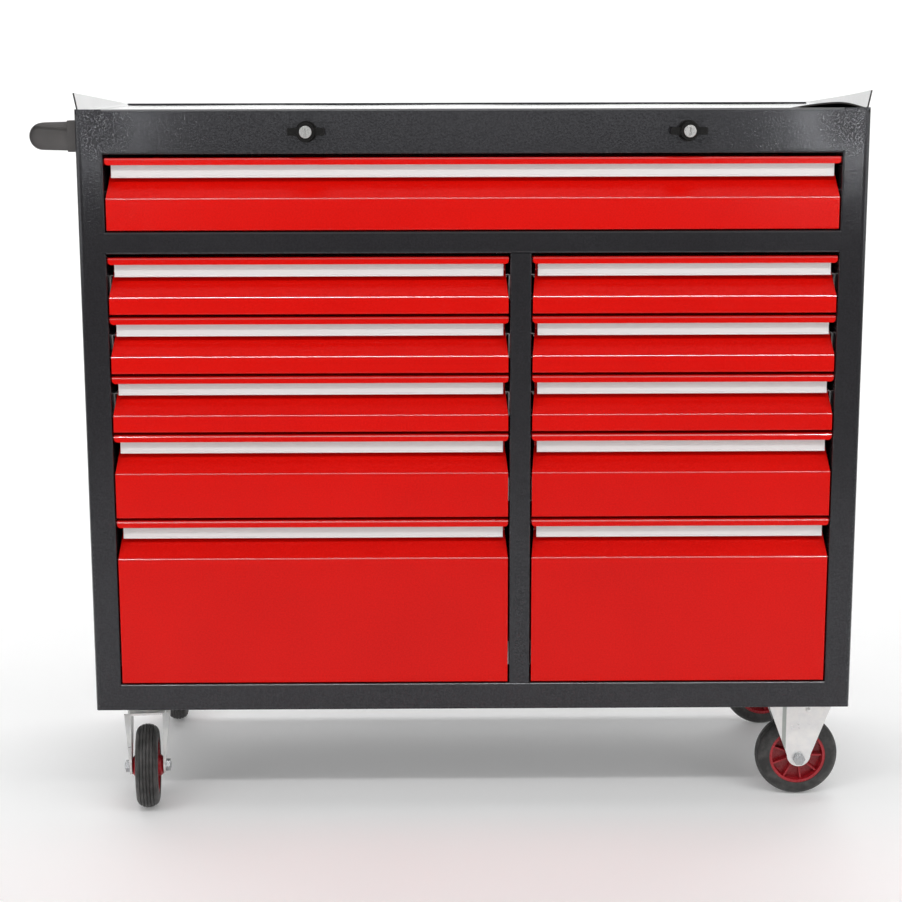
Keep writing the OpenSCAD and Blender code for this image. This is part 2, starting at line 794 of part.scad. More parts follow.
// Casters, each round its plate's middle on the floor
module bolt_holes(h) {
    for (x = [-1, 1]) for (y = [-1, 1]) translate([x * bolt_l / 2, y * bolt_w / 2, 0])
        cylinder(d = bolt_d + 1, h = h);
}
module caster_plate() {
    translate([0, 0, plate_under]) difference() {
        translate([-plate_l / 2, -plate_w / 2, 0]) cube([plate_l, plate_w, fork_t]);
        translate([0, 0, -1]) bolt_holes(fork_t + 2);
    }
}
module caster_bolts() {
    head_h = head_part * bolt_d;
    nut_w = hex_part * bolt_d;
    color(zinc) in_place() for (p = plates)
        for (a = [-1, 1]) for (b = [-1, 1])
            translate([p[0] + a * bolt_l / 2, p[1] + b * bolt_w / 2, 0]) {
                translate([0, 0, plate_under - head_h]) cylinder(d = nut_w, h = head_h, $fn = 6);
                translate([0, 0, plate_under - eps]) cylinder(d = bolt_d, h = fork_t + sheet_t + 2 * eps);
                translate([0, 0, caster_h + sheet_t]) cylinder(d = nut_w, h = head_h, $fn = 6);
            }
}
// Fork leg: a trapezoid with a round lower end, drawn across the leg's own width
module leg_outline(top_w, top_z, top_shift) {
    end_z = axle_z + fork_end_rise;
    translate([0, end_z]) circle(r = fork_end_r);
    polygon([
        [top_shift - top_w / 2, top_z],
        [-fork_end_r, end_z],
        [fork_end_r, end_z],
        [top_shift + top_w / 2, top_z]]);
}
module axle_hole() {
    translate([0, 0, axle_z]) rotate([90, 0, 0])
        cylinder(d = axle_d + 2 * shaft_clear, h = 4 * boss_len, center = true);
}
// A fixed fork's leg is jogged inwards beside its middle
module fixed_leg() {
    y = leg_in + fork_t / 2;
    plan = [
        [-fork_top_w, y - jog_d, 0],
        [-jog_x - jog_w / 2, y - jog_d, fork_t],
        [-jog_x + jog_w / 2, y, fork_t],
        [fork_top_w, y, 0]];
    intersection() {
        linear_extrude(caster_h) polygon(strip(plan, fork_t));
        along_y(0, 2 * leg_in) leg_outline(fork_top_w, plate_under + eps, 0);
    }
}
module fixed_fork() {
    difference() {
        union() {
            caster_plate();
            // The jog is on the same hand of both legs
            fixed_leg();
            mirror([0, 1, 0]) fixed_leg();
        }
        axle_hole();
    }
}
module fixed_forks() {
    color(zinc) in_place() for (y = fixed_y) translate([fixed_x, y, 0]) fixed_fork();
}
// Axle bolt along Y with a hexagon head and a nut
module axle() {
    out = leg_in + fork_t;
    translate([0, 0, axle_z]) rotate([90, 0, 0]) {
        cylinder(d = axle_d, h = 2 * (out + head_part * axle_d + thread_end), center = true);
        for (s = [0, 1]) mirror([0, 0, s]) translate([0, 0, out])
            cylinder(d = hex_part * axle_d, h = head_part * axle_d, $fn = 6);
    }
}
module fixed_axles() {
    color(zinc) in_place() for (y = fixed_y) translate([fixed_x, y, 0]) axle();
}
// Swivel casters: the wheels point away from the cabinet, the front one forwards, the rear one back
module at_swivel(i) {
    in_place() translate([swivel_x, swivel_y[i], 0]) rotate([0, 0, swivel_yaw + 180 * i]) children();
}
module at_swivel_wheel(i) {
    at_swivel(i) translate([0, -trail, 0]) rotate([0, 0, 90]) children();
}
module swivel_plate() {
    caster_plate();
    translate([0, 0, plate_under - race_h / 2]) cylinder(d = race_d, h = race_h / 2 + eps);
    translate([0, 0, crown_top - fork_t - 2 * swivel_clear]) cylinder(d = king_pin_d, h = race_h + fork_t);
    translate([0, 0, crown_top - 2 * fork_t - swivel_clear])
        cylinder(d = hex_part * king_pin_d, h = fork_t, $fn = 6);
}
module swivel_plates() {
    color(zinc) in_place() for (y = swivel_y) translate([swivel_x, y, 0]) swivel_plate();
}
// Flange turned out along the edge of a leg, from its top to its foot, given across the leg's own width
module edge_flange(top, foot) {
    x0 = leg_in + fork_t;
    intersection() {
        along_x(x0 - fork_t / 2, x0 + leg_flange) polygon(strip([top, foot], fork_t));
        along_y(-race_d - trail, race_d + trail) polygon([
            [x0 - fork_t, foot[1]],
            [x0, foot[1]],
            [x0 + leg_flange, top[1]],
            [x0 - fork_t, top[1]]]);
    }
}
module swivel_fork(i) {
    crown_w = 2 * (leg_in + fork_t);
    crown_l = race_d + 2 * crown_lip;
    cup_h = race_h / 2 - swivel_clear;
    foot_z = axle_z + fork_end_rise;
    edge = fork_t / 2;
    color(zinc) at_swivel(i) difference() {
        union() {
            translate([-crown_w / 2, -crown_l / 2, crown_top - fork_t]) cube([crown_w, crown_l, fork_t]);
            translate([0, 0, crown_top - eps]) cylinder(d1 = race_d - crown_lip, d2 = race_d, h = cup_h + eps);
            for (s = [-1, 1]) translate([s * (leg_in + fork_t / 2), 0, 0])
                along_x(-fork_t / 2, fork_t / 2) translate([-trail, 0])
                    leg_outline(crown_l, crown_top, trail);
            both_sides() {
                edge_flange([edge - crown_l / 2, crown_top], [edge - trail - fork_end_r, foot_z]);
                edge_flange([crown_l / 2 - edge, crown_top], [fork_end_r - trail - edge, foot_z]);
            }
        }
        translate([0, 0, crown_top - 2 * fork_t])
            cylinder(d = king_pin_d + 2 * swivel_clear, h = race_h + 2 * fork_t);
        translate([0, -trail, 0]) rotate([0, 0, 90]) axle_hole();
    }
}
module swivel_axle(i) {
    color(zinc) at_swivel_wheel(i) axle();
}

// Wheels, round the local Y axis at the axle's height
module turned_about_axle() {
    translate([0, 0, axle_z]) rotate([90, 0, 0]) children();
}
module hub() {
    rim = hub_d / 2 - shaft_clear;
    bore_rim = rim - hub_wall;
    boss = boss_d / 2;
    half = tread_w / 2 - rim_in;
    end = boss_len / 2;
    web = hub_wall / 2;
    // Half of the section, from the boss's end to the rim
    side = [
        [boss - boss_bevel, end], [boss, end - boss_bevel], [boss, web], [bore_rim, web],
        [bore_rim + rim_in, half], [rim, half]];
    color(hub_red) turned_about_axle() difference() {
        union() {
            rotate_extrude() polygon(concat(
                [[0, end]], side,
                [for (k = [len(side) - 1:-1:0]) [side[k][0], -side[k][1]]],
                [[0, -end]]));
            for (k = [0:hub_ribs - 1]) rotate([0, 0, 360 * k / hub_ribs])
                translate([boss - rim_in, -rib_t / 2, -half + rib_in])
                    cube([bore_rim - boss + 2 * rim_in, rib_t, 2 * (half - rib_in)]);
        }
        cylinder(d = axle_d + 2 * shaft_clear, h = 2 * boss_len, center = true);
    }
}
// The tread is crowned as half an ellipse: its radius at a place across the wheel
function tread_r(z) = wheel_d / 2 - tyre_crown * (1 - sqrt(1 - pow(2 * z / tread_w, 2)));
module tyre() {
    inner = hub_d / 2;
    half = tread_w / 2;
    pitch = tread_w * grooved_part / grooves;
    edge = asin((pitch * (grooves - 1) / 2 + groove_w) / half);
    shoulder = [for (k = [0:shoulder_steps]) let(z = half * sin(90 - (90 - edge) * k / shoulder_steps))
        [tread_r(z), z]];
    tread = [for (k = [0:grooves - 1]) let(z = (k - (grooves - 1) / 2) * pitch) each [
        [tread_r(z - groove_w / 2), z - groove_w / 2],
        [tread_r(z) - groove_d, z - groove_w / 4],
        [tread_r(z) - groove_d, z + groove_w / 4],
        [tread_r(z + groove_w / 2), z + groove_w / 2]]];
    color(black) turned_about_axle() rotate_extrude() polygon(concat(
        [[inner, -half]],
        [for (p = shoulder) [p[0], -p[1]]],
        tread,
        [for (k = [shoulder_steps:-1:0]) shoulder[k]],
        [[inner, half]]));
}
module at_fixed_wheel(i) {
    in_place() translate([fixed_x, fixed_y[i], 0]) children();
}

left_side_panel();
right_side_panel();
back_panel();
base_panel();
top_tray();
middle_rail();
centre_divider();
rear_posts();
top_mat();
slide_channels();
handle_brackets();
handle_grip();
handle_bolts();
lock_sleeves();
lock_nuts();
swivel_plates();
fixed_forks();
fixed_axles();
caster_bolts();
for (i = [0, 1]) {
    side = ["left", "right"][i];
    lock_knob(i);
    lock_cam(i);
    key_barrel(i);
    swivel_fork(i);
    swivel_axle(i);
    at_swivel_wheel(i) hub();
    at_swivel_wheel(i) tyre();
    at_fixed_wheel(i) hub();
    at_fixed_wheel(i) tyre();
}
for (d = drawers) {
    drawer(d);
    pull(d);
}
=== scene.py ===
import json
import math

import bmesh
import bpy
from mathutils import Matrix, Vector
from mathutils.bvhtree import BVHTree

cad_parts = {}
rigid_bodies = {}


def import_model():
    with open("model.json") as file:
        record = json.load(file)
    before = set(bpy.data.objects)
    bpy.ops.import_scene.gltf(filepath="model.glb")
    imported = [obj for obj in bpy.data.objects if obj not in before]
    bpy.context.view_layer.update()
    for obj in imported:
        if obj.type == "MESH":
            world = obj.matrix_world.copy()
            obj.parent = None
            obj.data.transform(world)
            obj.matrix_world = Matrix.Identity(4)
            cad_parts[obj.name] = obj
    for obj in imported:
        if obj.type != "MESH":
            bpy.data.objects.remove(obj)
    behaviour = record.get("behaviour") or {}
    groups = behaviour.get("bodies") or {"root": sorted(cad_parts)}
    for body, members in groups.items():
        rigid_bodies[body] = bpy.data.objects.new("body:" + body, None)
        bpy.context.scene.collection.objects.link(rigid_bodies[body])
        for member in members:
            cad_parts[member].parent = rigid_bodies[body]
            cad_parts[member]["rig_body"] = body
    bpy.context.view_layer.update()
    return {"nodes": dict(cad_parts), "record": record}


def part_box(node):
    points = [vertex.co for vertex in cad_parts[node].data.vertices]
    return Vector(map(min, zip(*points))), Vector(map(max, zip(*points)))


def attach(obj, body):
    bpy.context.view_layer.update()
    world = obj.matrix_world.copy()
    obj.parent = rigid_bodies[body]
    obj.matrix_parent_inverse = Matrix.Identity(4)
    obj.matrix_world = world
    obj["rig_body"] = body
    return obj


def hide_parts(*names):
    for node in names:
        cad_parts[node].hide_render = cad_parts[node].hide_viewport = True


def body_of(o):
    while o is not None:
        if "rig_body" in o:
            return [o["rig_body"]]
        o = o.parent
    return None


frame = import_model()
nodes = frame["nodes"]

# where the body stands, read from the frame
leftLow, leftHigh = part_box("left_side_panel")
rightLow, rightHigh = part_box("right_side_panel")
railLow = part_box("middle_rail")[0]
bodyMiddle = (leftLow.x + rightHigh.x) / 2
bodyFront = railLow.y
bodyFoot = leftLow.z
bodyTop = leftHigh.z
print("frame loaded:", len(nodes), "nodes")


# short hands for shader nodes
def newMaterial(name):
    mat = bpy.data.materials.new(name)
    mat.use_nodes = True
    tree = mat.node_tree
    shader = tree.nodes["Principled BSDF"]
    return mat, tree, shader


def addNode(tree, kind, **values):
    node = tree.nodes.new(kind)
    for key, value in values.items():
        setattr(node, key, value)
    return node


def objectPlace(tree, stretch=(1, 1, 1)):
    coords = addNode(tree, "ShaderNodeTexCoord")
    mapping = addNode(tree, "ShaderNodeMapping")
    mapping.inputs["Scale"].default_value = stretch
    tree.links.new(coords.outputs["Object"], mapping.inputs["Vector"])
    return mapping.outputs["Vector"]


def noiseField(tree, place, scale, detail=2.0, rough=0.5):
    noise = addNode(tree, "ShaderNodeTexNoise")
    noise.inputs["Scale"].default_value = scale
    noise.inputs["Detail"].default_value = detail
    noise.inputs["Roughness"].default_value = rough
    tree.links.new(place, noise.inputs["Vector"])
    return noise.outputs["Fac"]


def rampField(tree, field, low, high, lowColor, highColor):
    ramp = addNode(tree, "ShaderNodeValToRGB")
    ramp.color_ramp.elements[0].position = low
    ramp.color_ramp.elements[0].color = (*lowColor, 1)
    ramp.color_ramp.elements[1].position = high
    ramp.color_ramp.elements[1].color = (*highColor, 1)
    tree.links.new(field, ramp.inputs["Fac"])
    return ramp.outputs["Color"]


def mapField(tree, field, low, high, toLow, toHigh):
    remap = addNode(tree, "ShaderNodeMapRange")
    remap.inputs["From Min"].default_value = low
    remap.inputs["From Max"].default_value = high
    remap.inputs["To Min"].default_value = toLow
    remap.inputs["To Max"].default_value = toHigh
    tree.links.new(field, remap.inputs["Value"])
    return remap.outputs["Result"]


def mixColors(tree, factor, first, second, blend="MIX"):
    mix = addNode(tree, "ShaderNodeMix", data_type="RGBA", blend_type=blend)
    for socket, value in (("Factor", factor), ("A", first), ("B", second)):
        index = {"Factor": 0, "A": 6, "B": 7}[socket]
        if isinstance(value, (int, float)):
            mix.inputs[index].default_value = value
        elif isinstance(value, tuple):
            mix.inputs[index].default_value = (*value, 1)
        else:
            tree.links.new(value, mix.inputs[index])
    return mix.outputs[2]


def mixFields(tree, factor, first, second):
    mix = addNode(tree, "ShaderNodeMix", data_type="FLOAT")
    for index, field in ((0, factor), (2, first), (3, second)):
        tree.links.new(field, mix.inputs[index])
    return mix.outputs[0]


def bumpOn(tree, shader, field, strength, distance, under=None):
    bump = addNode(tree, "ShaderNodeBump")
    bump.inputs["Strength"].default_value = strength
    bump.inputs["Distance"].default_value = distance
    tree.links.new(field, bump.inputs["Height"])
    if under is not None:
        tree.links.new(under, bump.inputs["Normal"])
    tree.links.new(bump.outputs["Normal"], shader.inputs["Normal"])
    return bump.outputs["Normal"]


# finishes, one material for each slot of the record
def powderCoat(name, look):
    mat, tree, shader = newMaterial(name)
    place = objectPlace(tree)
    grain = noiseField(tree, place, look["grainScale"], 2.5, 0.6)
    fine = noiseField(tree, place, look["fineScale"], 1.0, 0.5)
    drift = noiseField(tree, place, look["driftScale"], 3.0, 0.55)
    tone = rampField(tree, drift, 0.3, 0.7, look["shade"], look["colour"])
    speckle = rampField(tree, grain, 0.35, 0.72, look["pit"], look["peak"])
    colour = mixColors(tree, look["speckle"], tone, speckle, "OVERLAY")
    tree.links.new(colour, shader.inputs["Base Color"])
    rough = mapField(tree, fine, 0.3, 0.7, look["roughLow"], look["roughHigh"])
    tree.links.new(rough, shader.inputs["Roughness"])
    shine = mapField(tree, grain, 0.36, 0.64, look["glossLow"], look["glossHigh"])
    relief = grain
    if "corners" in look:
        # round the welded upper corners the coat lies dry and sparkles
        sparks = noiseField(tree, place, look["sparkScale"], 2.0, 0.6)
        near = None
        for corner in look["corners"]:
            away = addNode(tree, "ShaderNodeVectorMath", operation="DISTANCE")
            away.inputs[1].default_value = corner
            tree.links.new(place, away.inputs[0])
            close = mapField(tree, away.outputs["Value"], look["cornerNear"], look["cornerFar"], 1, 0)
            if near is not None:
                both = addNode(tree, "ShaderNodeMath", operation="MAXIMUM")
                tree.links.new(near, both.inputs[0])
                tree.links.new(close, both.inputs[1])
                close = both.outputs["Value"]
            near = close
        sparkShine = mapField(tree, sparks, look["sparkFrom"], look["sparkTo"], 0.0, look["sparkGloss"])
        shine = mixFields(tree, near, shine, sparkShine)
        relief = mixFields(tree, near, grain, sparks)
    tree.links.new(shine, shader.inputs["Specular IOR Level"])
    shader.inputs["Specular Tint"].default_value = look["tint"]
    first = bumpOn(tree, shader, relief, look["grainBump"], look["grainDepth"])
    bumpOn(tree, shader, fine, look["fineBump"], look["grainDepth"] / 3, first)
    shader.inputs["Coat Weight"].default_value = look["coat"]
    shader.inputs["Coat Roughness"].default_value = look["coatRough"]
    shader.inputs["Coat IOR"].default_value = look["coatIor"]
    return mat


frameLook = dict(colour=(0.0215, 0.0207, 0.0228), shade=(0.0180, 0.0172, 0.0190), pit=(0.36, 0.36, 0.36),
                 peak=(0.66, 0.66, 0.67), speckle=0.55, grainScale=400, fineScale=1300, driftScale=5,
                 roughLow=0.09, roughHigh=0.15, glossLow=0.30, glossHigh=0.62, grainBump=1.0,
                 grainDepth=0.00014, fineBump=0.2,
                 coat=0.0, coatRough=0.2, coatIor=1.5, tint=(0.92, 0.95, 1.0, 1.0),
                 corners=((leftLow.x + 0.035, bodyFront, bodyTop - 0.022),
                          (rightHigh.x - 0.03, bodyFront, bodyTop - 0.018)),
                 cornerNear=0.02, cornerFar=0.074, sparkScale=760, sparkFrom=0.36, sparkTo=0.64,
                 sparkGloss=0.9)
drawerLook = dict(colour=(0.71, 0.0046, 0.0020), shade=(0.66, 0.0040, 0.0020), pit=(0.36, 0.36, 0.36),
                  peak=(0.62, 0.64, 0.64), speckle=0.7, grainScale=440, fineScale=1500, driftScale=4,
                  roughLow=0.14, roughHigh=0.24, glossLow=0.06, glossHigh=0.30, grainBump=1.0,
                  grainDepth=0.00020, fineBump=0.2,
                  coat=0.0, coatRough=0.2, coatIor=1.5, tint=(1.0, 0.96, 0.94, 1.0))
# the coat lies thicker and glossier along the folds
railFoldLook = dict(frameLook, coat=1.0, coatRough=0.3, coatIor=1.5)
trayFoldLook = dict(frameLook, coat=1.0, coatRough=0.30, coatIor=2.2)
drawerFoldLook = dict(drawerLook, coat=1.0, coatRough=0.18, coatIor=3.4)


def drawnAluminium(name):
    look = dict(colour=(0.80, 0.785, 0.78), shade=(0.785, 0.77, 0.765), lines=1800, along=3)
    mat, tree, shader = newMaterial(name)
    place = objectPlace(tree, (look["along"], look["lines"], look["lines"]))
    lines = noiseField(tree, place, 1.0, 3.0, 0.6)
    tone = rampField(tree, lines, 0.3, 0.7, look["shade"], look["colour"])
    tree.links.new(tone, shader.inputs["Base Color"])
    tree.links.new(mapField(tree, lines, 0.3, 0.7, 0.40, 0.48), shader.inputs["Roughness"])
    shader.inputs["Metallic"].default_value = 0.2
    bumpOn(tree, shader, lines, 0.02, 0.0001)
    return mat


def zincPlate(name):
    look = dict(colour=(0.88, 0.88, 0.86), shade=(0.78, 0.79, 0.79), patch=70, fine=900)
    mat, tree, shader = newMaterial(name)
    place = objectPlace(tree)
    patches = noiseField(tree, place, look["patch"], 4.0, 0.6)
    fine = noiseField(tree, place, look["fine"], 2.0, 0.5)
    tone = rampField(tree, patches, 0.35, 0.65, look["shade"], look["colour"])
    tree.links.new(tone, shader.inputs["Base Color"])
    tree.links.new(mapField(tree, patches, 0.3, 0.7, 0.26, 0.44), shader.inputs["Roughness"])
    shader.inputs["Metallic"].default_value = 0.7
    bumpOn(tree, shader, fine, 0.12, 0.0003)
    return mat


def mouldedPlastic(name, colour, shade, rough, grain=1100, shine=0.5):
    mat, tree, shader = newMaterial(name)
    place = objectPlace(tree)
    sparks = noiseField(tree, place, grain, 2.0, 0.5)
    cloud = noiseField(tree, place, 45, 3.0, 0.5)
    tree.links.new(rampField(tree, cloud, 0.3, 0.7, shade, colour), shader.inputs["Base Color"])
    tree.links.new(mapField(tree, sparks, 0.3, 0.7, rough - 0.08, rough + 0.08), shader.inputs["Roughness"])
    shader.inputs["Specular IOR Level"].default_value = shine
    bumpOn(tree, shader, sparks, 0.22, 0.0004)
    return mat


def tyreRubber(name):
    look = dict(colour=(0.022, 0.0216, 0.0214), dust=(0.10, 0.096, 0.092), patch=60, fine=700)
    mat, tree, shader = newMaterial(name)
    place = objectPlace(tree)
    patches = noiseField(tree, place, look["patch"], 5.0, 0.65)
    fine = noiseField(tree, place, look["fine"], 3.0, 0.6)
    tone = rampField(tree, patches, 0.42, 0.85, look["colour"], look["dust"])
    tree.links.new(tone, shader.inputs["Base Color"])
    tree.links.new(mapField(tree, fine, 0.3, 0.7, 0.42, 0.62), shader.inputs["Roughness"])
    bumpOn(tree, shader, fine, 0.25, 0.0005)
    return mat


def matRubber(name):
    look = dict(colour=(0.030, 0.030, 0.032), shade=(0.020, 0.020, 0.021), pebble=420, cloud=9)
    mat, tree, shader = newMaterial(name)
    place = objectPlace(tree)
    pebbles = noiseField(tree, place, look["pebble"], 2.0, 0.5)
    cloud = noiseField(tree, place, look["cloud"], 4.0, 0.6)
    tone = rampField(tree, cloud, 0.3, 0.7, look["shade"], look["colour"])
    tree.links.new(tone, shader.inputs["Base Color"])
    tree.links.new(mapField(tree, cloud, 0.3, 0.7, 0.18, 0.28), shader.inputs["Roughness"])
    shader.inputs["Specular IOR Level"].default_value = 1.0
    shader.inputs["Coat Weight"].default_value = 1.0
    shader.inputs["Coat Roughness"].default_value = 0.16
    shader.inputs["Coat IOR"].default_value = 2.1
    bumpOn(tree, shader, pebbles, 0.2, 0.0002)
    return mat


def brightMetal(name, dark, light, rough):
    mat, tree, shader = newMaterial(name)
    place = objectPlace(tree)
    scuffs = noiseField(tree, place, 1500, 3.0, 0.6)
    tree.links.new(rampField(tree, scuffs, 0.3, 0.75, dark, light), shader.inputs["Base Color"])
    tree.links.new(mapField(tree, scuffs, 0.3, 0.7, rough - 0.07, rough + 0.07), shader.inputs["Roughness"])
    shader.inputs["Metallic"].default_value = 0.9
    bumpOn(tree, shader, scuffs, 0.1, 0.0002)
    return mat


finishes = {
    "frame": powderCoat("charcoalCoat", frameLook),
    "drawer": powderCoat("redCoat", drawerLook),
    "frame_fold": powderCoat("charcoalFold", railFoldLook),
    "tray_fold": powderCoat("trayFold", trayFoldLook),
    "drawer_fold": powderCoat("redFold", drawerFoldLook),
    "pull": drawnAluminium("satinPull"),
    "zinc": zincPlate("zincPlate"),
    "mat": matRubber("matRubber"),
    "black_plastic": mouldedPlastic("blackPlastic", (0.0075, 0.0072, 0.0068), (0.0055, 0.0053, 0.005), 0.36,
                                    shine=0.22),
    "key": brightMetal("keyBarrel", (0.42, 0.42, 0.41), (0.74, 0.74, 0.73), 0.30),
    "hub": mouldedPlastic("redHub", (0.40, 0.014, 0.024), (0.33, 0.010, 0.016), 0.30, 500),
    "tyre": tyreRubber("tyreRubber"),
}
bracketGrey = mouldedPlastic("bracketGrey", (0.080, 0.074, 0.073), (0.062, 0.058, 0.057), 0.46)
matCut = mouldedPlastic("matCut", (0.044, 0.041, 0.039), (0.030, 0.028, 0.027), 0.85, 900, shine=0.1)
# painted shade: a darker, greener zinc for the sloped faces of the fixed forks' pressed step
stepShadeZinc = brightMetal("stepShadeZinc", (0.40, 0.44, 0.42), (0.52, 0.56, 0.54), 0.45)
boltSteel = brightMetal("boltSteel", (0.36, 0.37, 0.38), (0.58, 0.59, 0.60), 0.28)
slotOf = {part["node"]: part["material_slot"] for part in frame["record"]["subparts"]}
for name, obj in nodes.items():
    obj.data.materials.clear()
    obj.data.materials.append(finishes[slotOf[name]])

# the runners on a drawer's sides are bare zinc, the rest of the drawer is coated
runnerZone = dict(inFromFront=0.0104, behindFront=0.0285)
for name, obj in nodes.items():
    if not name.startswith("drawer_"):
        continue
    low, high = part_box(name)
    obj.data.materials.append(finishes["zinc"])
    for face in obj.data.polygons:
        sideways = abs(face.center.x - (low.x + high.x) / 2)
        outside = sideways > (high.x - low.x) / 2 - runnerZone["inFromFront"]
        if outside and face.center.y > low.y + runnerZone["behindFront"]:
            face.material_index = 1

# faces on the folds that look up and forwards
foldTilt = dict(low=math.radians(2), drawerHigh=math.radians(36.5), frameHigh=math.radians(88), deep=0.05)
for name, obj in nodes.items():
    kind = slotOf[name]
    if kind not in ("frame", "drawer"):
        continue
    obj.data.materials.append(finishes["tray_fold" if name == "top_tray" else kind + "_fold"])
    last = len(obj.data.materials) - 1
    for face in obj.data.polygons:
        tilt = math.atan2(face.normal.z, -face.normal.y)
        atFront = face.center.y < bodyFront + foldTilt["deep"]
        if atFront and abs(face.normal.x) < 0.1 and foldTilt["low"] < tilt < foldTilt[kind + "High"]:
            face.material_index = last
print("finishes set")


# small hardware: the solid's own mesh with its edges rounded over
softEdge = {
    "lock_knob": 0.0009, "key_barrel": 0.0005, "handle_brackets": 0.0014, "handle_bolts": 0.0004,
    "swivel_fork": 0.0006, "fixed_forks": 0.0006, "swivel_plates": 0.0006, "swivel_axle": 0.0005,
    "fixed_axles": 0.0005, "caster_bolts": 0.0004, "swivel_hub": 0.0006, "fixed_hub": 0.0006,
    "lock_sleeves": 0.0006, "handle_grip": 0.0008,
}
ownFinish = {"handle_brackets": bracketGrey, "handle_bolts": boltSteel, "caster_bolts": boltSteel,
             "fixed_axles": boltSteel, "swivel_axle_front": boltSteel, "swivel_axle_rear": boltSteel}

# the sloped faces of the pressed step down each fixed fork's leg are coloured darker and greener as painted
# shade
stepShadeFaces = dict(slopeLow=0.2, slopeHigh=0.5, outward=0.8, leastArea=0.00002)

# the handle brackets' outer faces are sunk under a rim that falls towards the foot
sunkPanel = dict(foot=-0.5117, top=0.96854, fall=0.0888, rim=0.0008, depth=0.0055)


def sinkPanels(bm, shape):
    for way in (-1, 1):
        sides = [face for face in bm.faces if face.normal.y * way > 0.99]
        largest = max(face.calc_area() for face in sides)
        outer = max((face for face in sides if face.calc_area() > largest / 2),
                    key=lambda face: face.calc_center_median().y * way)
        made = bmesh.ops.bisect_plane(bm, geom=[outer, *outer.edges, *outer.verts], dist=1e-6,
                                      plane_co=(shape["foot"], 0, shape["top"]),
                                      plane_no=(shape["fall"], 0, 1))
        halves = [item for item in made["geom"] if isinstance(item, bmesh.types.BMFace)]
        panel = min(halves, key=lambda face: face.calc_center_median().z)
        bmesh.ops.inset_region(bm, faces=[panel], thickness=shape["rim"], depth=-shape["depth"],
                               use_boundary=True, use_even_offset=True)


# gives the pressed step's sloped faces the painted shade
def paintStepShade(mesh, step):
    mesh.materials.append(stepShadeZinc)
    for face in mesh.polygons:
        sloped = step["slopeLow"] < abs(face.normal.x) < step["slopeHigh"]
        if sloped and abs(face.normal.y) > step["outward"] and face.area > step["leastArea"]:
            face.material_index = 1


def softCopy(name, width):
    bm = bmesh.new()
    bm.from_mesh(nodes[name].data)
    bmesh.ops.remove_doubles(bm, verts=bm.verts, dist=0.00001)
    bmesh.ops.dissolve_limit(bm, angle_limit=math.radians(0.4), verts=bm.verts, edges=bm.edges)
    sharp = [edge for edge in bm.edges
             if len(edge.link_faces) == 2 and edge.calc_face_angle() > math.radians(32)]
    bmesh.ops.bevel(bm, geom=sharp, offset=width, offset_type="OFFSET", segments=2, profile=0.5,
                    affect="EDGES", clamp_overlap=True, material=-1)
    if name == "handle_brackets":
        sinkPanels(bm, sunkPanel)
    bmesh.ops.dissolve_degenerate(bm, dist=0.000005, edges=bm.edges)
    bmesh.ops.recalc_face_normals(bm, faces=bm.faces)
    mesh = bpy.data.meshes.new(name + "Soft")
    bm.to_mesh(mesh)
    bm.free()
    mesh.shade_smooth()
    mesh.set_sharp_from_angle(angle=math.radians(60))
    mesh.materials.append(ownFinish.get(name, finishes[slotOf[name]]))
    if name == "fixed_forks":
        paintStepShade(mesh, stepShadeFaces)
    obj = bpy.data.objects.new(name + "Soft", mesh)
    bpy.context.scene.collection.objects.link(obj)
    flat = obj.modifiers.new("flatFaces", "WEIGHTED_NORMAL")
    flat.weight = 100
    flat.keep_sharp = True
    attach(obj, body_of(nodes[name])[0])
    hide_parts(name)


for start, width in softEdge.items():
    for name in [n for n in nodes if n.startswith(start)]:
        softCopy(name, width)
print("edges of the small hardware rounded")


# round rivet heads high on the fixed forks' outer legs
rivet = dict(radius=0.0036, height=0.0020, drop=0.0199, aside=0.0115, rings=6, around=24, castFrom=0.1)


def buildRivets(shape):
    low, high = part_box("fixed_forks")
    forks = nodes["fixed_forks"].data
    surface = BVHTree.FromPolygons([v.co for v in forks.vertices], [f.vertices for f in forks.polygons])
    bm = bmesh.new()
    for start, way in ((low.y - shape["castFrom"], -1), (high.y + shape["castFrom"], 1)):
        eye = Vector(((low.x + high.x) / 2 + shape["aside"], start, high.z - shape["drop"]))
        middle = surface.ray_cast(eye, Vector((0, -way, 0)))[0]
        rings = []
        for ring in range(shape["rings"]):
            turn = ring / shape["rings"] * math.pi / 2
            out = shape["radius"] * math.cos(turn)
            rings.append([bm.verts.new(middle + Vector((
                out * math.cos(a * math.tau / shape["around"]),
                way * shape["height"] * math.sin(turn),
                out * math.sin(a * math.tau / shape["around"])))) for a in range(shape["around"])])
        tip = bm.verts.new(middle + Vector((0, way * shape["height"], 0)))
        for inner, outer in zip(rings[1:], rings):
            for a in range(shape["around"]):
                b = (a + 1) % shape["around"]
                bm.faces.new((outer[a], outer[b], inner[b], inner[a]))
        for a in range(shape["around"]):
            bm.faces.new((rings[-1][a], rings[-1][(a + 1) % shape["around"]], tip))
        bm.faces.new(rings[0])
    bmesh.ops.recalc_face_normals(bm, faces=bm.faces)
    mesh = bpy.data.meshes.new("forkRivets")
    bm.to_mesh(mesh)
    bm.free()
    mesh.shade_smooth()
    mesh.set_sharp_from_angle(angle=math.radians(40))
    mesh.materials.append(finishes["zinc"])
    obj = bpy.data.objects.new("forkRivets", mesh)
    bpy.context.scene.collection.objects.link(obj)
    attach(obj, "cabinet")
    print("rivets set")


buildRivets(rivet)

# the stiles are welded to the rails and the seams ground flush
seam = dict(fold=0.0026, trayFold=0.0052, under=0.00002, arcSteps=6)


